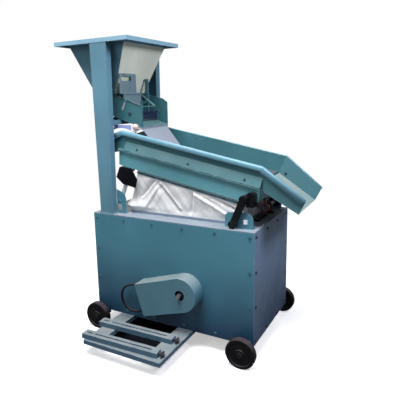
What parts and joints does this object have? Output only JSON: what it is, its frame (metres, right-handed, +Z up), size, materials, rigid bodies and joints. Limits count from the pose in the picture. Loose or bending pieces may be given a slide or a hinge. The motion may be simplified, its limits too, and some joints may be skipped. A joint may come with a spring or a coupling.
{
  "type": "grain destoner",
  "caption": "Wheeled gravity destoner: a fan casing blows air up through a canvas sleeve into a sloping, shaken screen deck fed from a hopper; grain leaves by a chute, stones by a spout.",
  "frame": {"origin": "floor level, at the middle of the whole machine's outline", "axes": "+Z up, +X towards the grain chute, +Y towards the rear, away from the motor rails"},
  "size_m": [1.8329, 1.273, 2.127],
  "materials": {
    "teal_paint": "satin",
    "light_teal_paint": "satin",
    "dark_teal_paint": "satin",
    "cream_paint": "satin",
    "white_paint": "gloss",
    "black_paint": "gloss",
    "zinc_plate": "satin",
    "bare_steel": "machined",
    "belt_rubber": "matte",
    "wheel_rubber": "matte",
    "red_paint": "satin",
    "canvas": "woven",
    "felt": "matte",
    "knob_plastic": "satin"
  },
  "bodies": {
    "machine": {"base_frame": "dark_teal_paint", "top_plate": "light_teal_paint", "front_panel": "teal_paint", "rear_panel": "teal_paint", "left_panel": "teal_paint", "right_panel": "light_teal_paint", "floor_panel": "dark_teal_paint", "panel_bolts": "zinc_plate", "axles": "bare_steel", "post_front": "teal_paint", "post_rear": "teal_paint", "feeder_beams": "teal_paint", "hopper_rim": "light_teal_paint", "hopper_shell": "teal_paint", "hopper_right_wall": "cream_paint", "gate_guides": "zinc_plate", "feeder_pan": "teal_paint", "feed_apron": "zinc_plate", "bow_strip": "white_paint", "fan_bearings": "black_paint", "bearing_beams": "dark_teal_paint", "air_inlet": "dark_teal_paint", "belt_guard": "teal_paint", "v_belt": "belt_rubber", "rail_frame": "light_teal_paint", "slide_rails": "light_teal_paint", "rail_screws": "bare_steel", "arm_brackets": "teal_paint", "crank_bearings": "black_paint", "drive_belt": "belt_rubber", "clamp_lower": "dark_teal_paint", "canvas_sleeve": "canvas"},
    "deck": {"deck_sides": "teal_paint", "deck_screen": "bare_steel", "joint_felt": "felt", "plenum_frame": "teal_paint", "grain_chute": "teal_paint", "stone_spout": "teal_paint", "deck_bolts": "zinc_plate", "arm_hangers": "black_paint", "clamp_upper": "dark_teal_paint"},
    "fan": {"fan_shaft": "bare_steel", "fan_impeller": "dark_teal_paint", "fan_pulley": "bare_steel", "fan_small_pulley": "black_paint"},
    "crank": {"eccentric_shaft": "bare_steel", "crank_pulley": "black_paint"},
    "rod": {"connecting_rod": "red_paint"},
    "gate": {"slide_gate": "bare_steel"},
    "baffle": {"baffle": "bare_steel"},
    "latch": {"latch_lever": "zinc_plate"},
    "knob": {"lock_knob": "knob_plastic"},
    "arm_front_left": {"rocker_front_left": "zinc_plate"},
    "arm_front_right": {"rocker_front_right": "black_paint"},
    "arm_rear_left": {"rocker_rear_left": "zinc_plate"},
    "arm_rear_right": {"rocker_rear_right": "black_paint"},
    "front_left_wheel": {"wheel_front_left": "wheel_rubber"},
    "front_right_wheel": {"wheel_front_right": "wheel_rubber"},
    "rear_left_wheel": {"wheel_rear_left": "wheel_rubber"},
    "rear_right_wheel": {"wheel_rear_right": "wheel_rubber"}
  },
  "joints": [
    {"name": "deck_shake", "type": "slide", "parent": "machine", "child": "deck", "axis": [-0.9171, 0, 0.3987], "range_m": [-0.004, 0.004], "deforming": ["canvas_sleeve"]},
    {"name": "arm_front_left_swing", "type": "hinge", "parent": "machine", "child": "arm_front_left", "pos_m": [-0.42773, -0.1145, 0.971], "axis": [0, -1, 0], "range_deg": [-1.5, 1.5]},
    {"name": "arm_front_right_swing", "type": "hinge", "parent": "machine", "child": "arm_front_right", "pos_m": [0.48227, -0.1615, 0.905], "axis": [0, -1, 0], "range_deg": [-1.5, 1.5]},
    {"name": "arm_rear_left_swing", "type": "hinge", "parent": "machine", "child": "arm_rear_left", "pos_m": [-0.42773, 0.4355, 0.971], "axis": [0, -1, 0], "range_deg": [-1.5, 1.5]},
    {"name": "arm_rear_right_swing", "type": "hinge", "parent": "machine", "child": "arm_rear_right", "pos_m": [0.48227, 0.4825, 0.905], "axis": [0, -1, 0], "range_deg": [-1.5, 1.5]},
    {"name": "rod_swing", "type": "hinge", "parent": "machine", "child": "rod", "pos_m": [0.56127, 0.2385, 0.931], "axis": [0, -1, 0], "range_deg": [-3.2, 3.2]},
    {"name": "fan_spin", "type": "hinge", "parent": "machine", "child": "fan", "pos_m": [0.16427, 0.1605, 0.415], "axis": [0, 1, 0], "continuous": true},
    {"name": "crank_spin", "type": "hinge", "parent": "machine", "child": "crank", "pos_m": [0.56127, 0.2385, 0.931], "axis": [0, 1, 0], "continuous": true},
    {"name": "front_left_wheel_spin", "type": "hinge", "parent": "machine", "child": "front_left_wheel", "pos_m": [-0.56573, -0.2825, 0.1], "axis": [0, 1, 0], "continuous": true},
    {"name": "front_right_wheel_spin", "type": "hinge", "parent": "machine", "child": "front_right_wheel", "pos_m": [0.58427, -0.2825, 0.1], "axis": [0, 1, 0], "continuous": true},
    {"name": "rear_left_wheel_spin", "type": "hinge", "parent": "machine", "child": "rear_left_wheel", "pos_m": [-0.56573, 0.6035, 0.1], "axis": [0, 1, 0], "continuous": true},
    {"name": "rear_right_wheel_spin", "type": "hinge", "parent": "machine", "child": "rear_right_wheel", "pos_m": [0.58427, 0.6035, 0.1], "axis": [0, 1, 0], "continuous": true},
    {"name": "gate_slide", "type": "slide", "parent": "machine", "child": "gate", "axis": [0, 0, 1], "range_m": [-0.044, 0]},
    {"name": "baffle_turn", "type": "hinge", "parent": "machine", "child": "baffle", "pos_m": [-0.37573, 0.1605, 1.60627], "axis": [0, 1, 0], "range_deg": [-20, 20]},
    {"name": "latch_turn", "type": "hinge", "parent": "machine", "child": "latch", "pos_m": [-0.40873, -0.0295, 1.692], "axis": [0, 1, 0], "range_deg": [-10, 60]},
    {"name": "knob_turn", "type": "hinge", "parent": "machine", "child": "knob", "pos_m": [-0.29373, -0.0825, 1.5], "axis": [0, 0, 1], "range_deg": [-180, 180]}
  ],
  "couplings": [
    {"joint": "arm_front_left_swing", "follows": "deck_shake", "rad_per_m": 5.4348},
    {"joint": "arm_front_right_swing", "follows": "deck_shake", "rad_per_m": 5.4348},
    {"joint": "arm_rear_left_swing", "follows": "deck_shake", "rad_per_m": 5.4348},
    {"joint": "arm_rear_right_swing", "follows": "deck_shake", "rad_per_m": 5.4348},
    {"joint": "rod_swing", "follows": "deck_shake", "rad_per_m": 12.562},
    {"joint": "crank_spin", "follows": "fan_spin", "ratio": 0.625}
  ]
}
